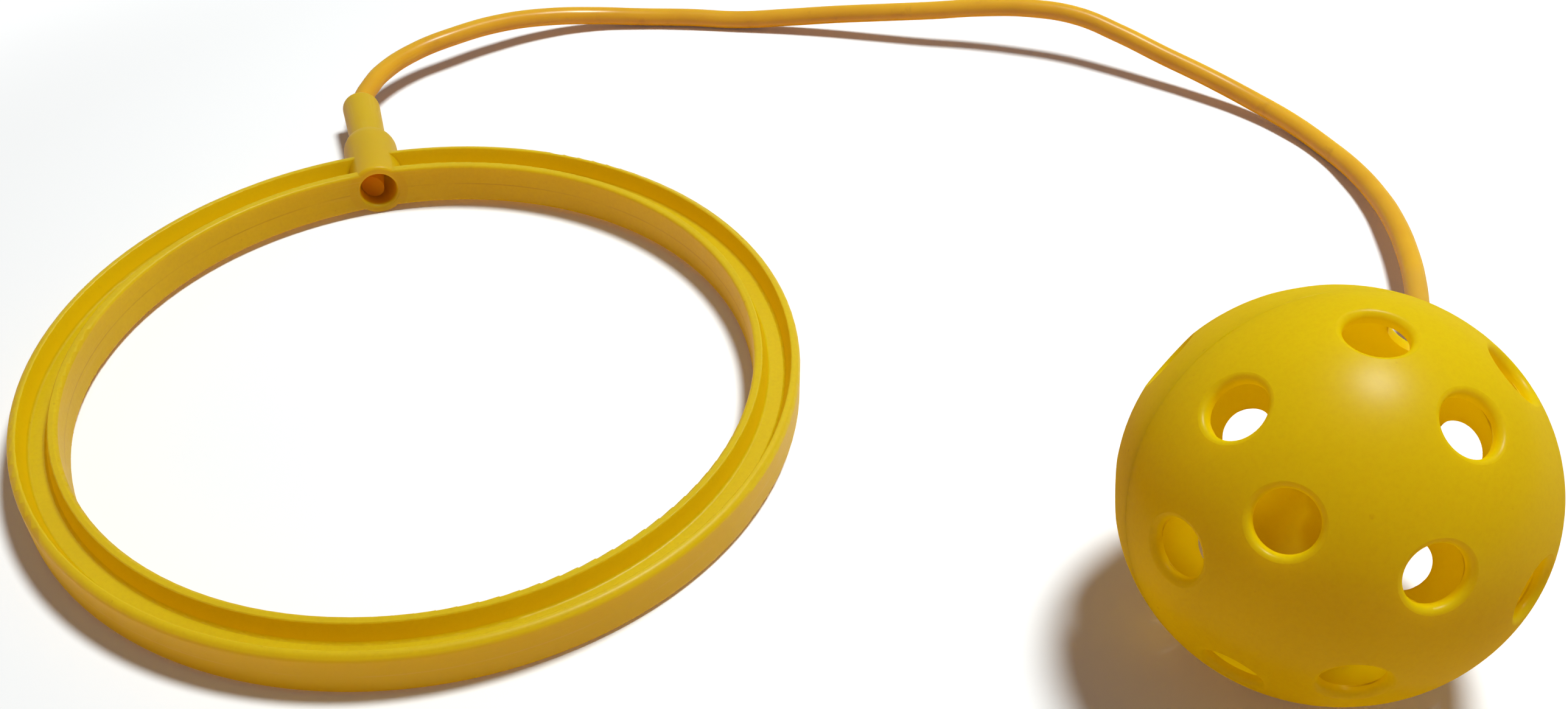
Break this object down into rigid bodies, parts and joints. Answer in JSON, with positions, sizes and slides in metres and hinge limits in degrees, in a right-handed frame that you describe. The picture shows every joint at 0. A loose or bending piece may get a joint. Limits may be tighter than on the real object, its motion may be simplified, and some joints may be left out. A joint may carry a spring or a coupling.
{
  "type": "ankle skip toy",
  "caption": "Moulded ankle ring with a soft cord that swivels in its boss and carries a hollow perforated ball, for skipping over with the other foot.",
  "frame": {"origin": "centre of the ring's opening at half the ring's height", "axes": "+Z along the ring's axis, upwards as it lies; +Y from the centre to the boss that the cord leaves"},
  "size_m": [0.3269, 0.3052, 0.0732],
  "materials": {
    "ring_plastic": "satin moulded polyethylene",
    "ball_plastic": "satin moulded polyethylene",
    "cord_pvc": "soft glossy vinyl",
    "stop_plastic": "satin plastic"
  },
  "bodies": {
    "ring": {"ring": "ring_plastic"},
    "cord": {"cord": "cord_pvc", "ring_end_stop": "stop_plastic", "ball_end_stop": "stop_plastic"},
    "ball": {"ball_front_half": "ball_plastic", "ball_rear_half": "ball_plastic"}
  },
  "joints": [
    {"name": "cord_swivel", "type": "hinge", "parent": "ring", "child": "cord", "pos_m": [0, 0.0877, 0], "axis": [0, 1, 0], "continuous": true},
    {"name": "ball_swivel", "type": "hinge", "parent": "cord", "child": "ball", "pos_m": [0.1453, -0.1143, 0.03053], "axis": [0.683, 0.51, -0.5228], "continuous": true}
  ]
}
